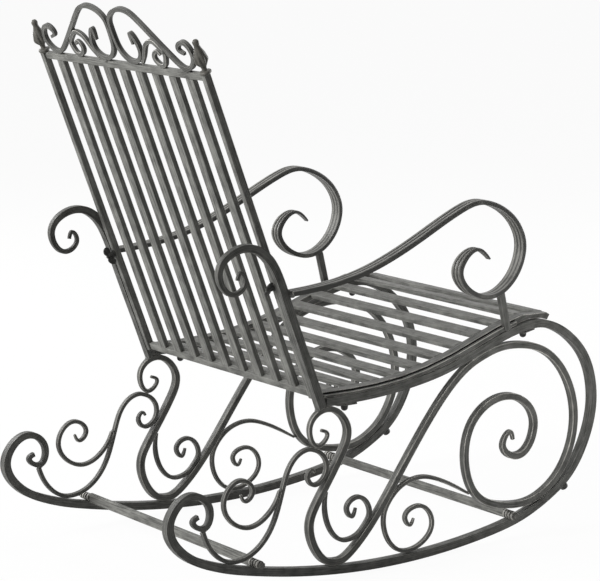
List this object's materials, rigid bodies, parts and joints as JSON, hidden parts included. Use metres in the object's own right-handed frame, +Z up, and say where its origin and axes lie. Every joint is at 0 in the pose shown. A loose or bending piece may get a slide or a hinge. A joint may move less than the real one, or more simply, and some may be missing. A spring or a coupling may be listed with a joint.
{
  "type": "outdoor rocking chair",
  "caption": "Wrought-iron rocking chair with scrolled side frames on curved rockers, slatted seat and leaning slatted back with a scroll crest, and reeded arms.",
  "frame": {"origin": "on the floor, under the middle of the chair's box", "axes": "+Z up, -Y to the front, +X to the sitter's left"},
  "size_m": [0.5896, 1.0166, 1.0403],
  "materials": {
    "frame": "antique dark grey, hand-brushed, satin",
    "panel": "antique dark grey, hand-brushed, satin",
    "fitting": "antique dark grey, satin"
  },
  "bodies": {
    "root": {"arm_post_left": "frame", "arm_post_right": "frame", "armrest_left": "frame", "armrest_right": "frame", "back_bottom_rail": "panel", "back_slat_1": "panel", "back_slat_2": "panel", "back_slat_3": "panel", "back_slat_4": "panel", "back_slat_5": "panel", "back_slat_6": "panel", "back_slat_7": "panel", "back_slat_8": "panel", "back_slat_9": "panel", "back_top_rail": "panel", "back_upright_left": "panel", "back_upright_right": "panel", "crest_large_left": "frame", "crest_large_right": "frame", "crest_small_left": "frame", "crest_small_right": "frame", "finial_left": "fitting", "finial_right": "fitting", "front_stretcher": "panel", "inner_curl_left": "frame", "inner_curl_right": "frame", "leg_bar_left": "frame", "leg_bar_right": "frame", "middle_scroll_left": "frame", "middle_scroll_right": "frame", "rear_post_left": "frame", "rear_post_right": "frame", "rear_stretcher": "panel", "rocker_left": "frame", "rocker_right": "frame", "seat_side_left": "panel", "seat_side_right": "panel", "seat_slat_1": "panel", "seat_slat_10": "panel", "seat_slat_11": "panel", "seat_slat_2": "panel", "seat_slat_3": "panel", "seat_slat_4": "panel", "seat_slat_5": "panel", "seat_slat_6": "panel", "seat_slat_7": "panel", "seat_slat_8": "panel", "seat_slat_9": "panel", "seat_tab_front_left": "fitting", "seat_tab_front_right": "fitting", "seat_tab_rear_left": "fitting", "seat_tab_rear_right": "fitting", "stretcher_sleeve_front_left": "fitting", "stretcher_sleeve_front_right": "fitting", "stretcher_sleeve_rear_left": "fitting", "stretcher_sleeve_rear_right": "fitting", "tail_curl_left": "frame", "tail_curl_right": "frame", "tail_scroll_left": "frame", "tail_scroll_right": "frame"}
  },
  "joints": []
}
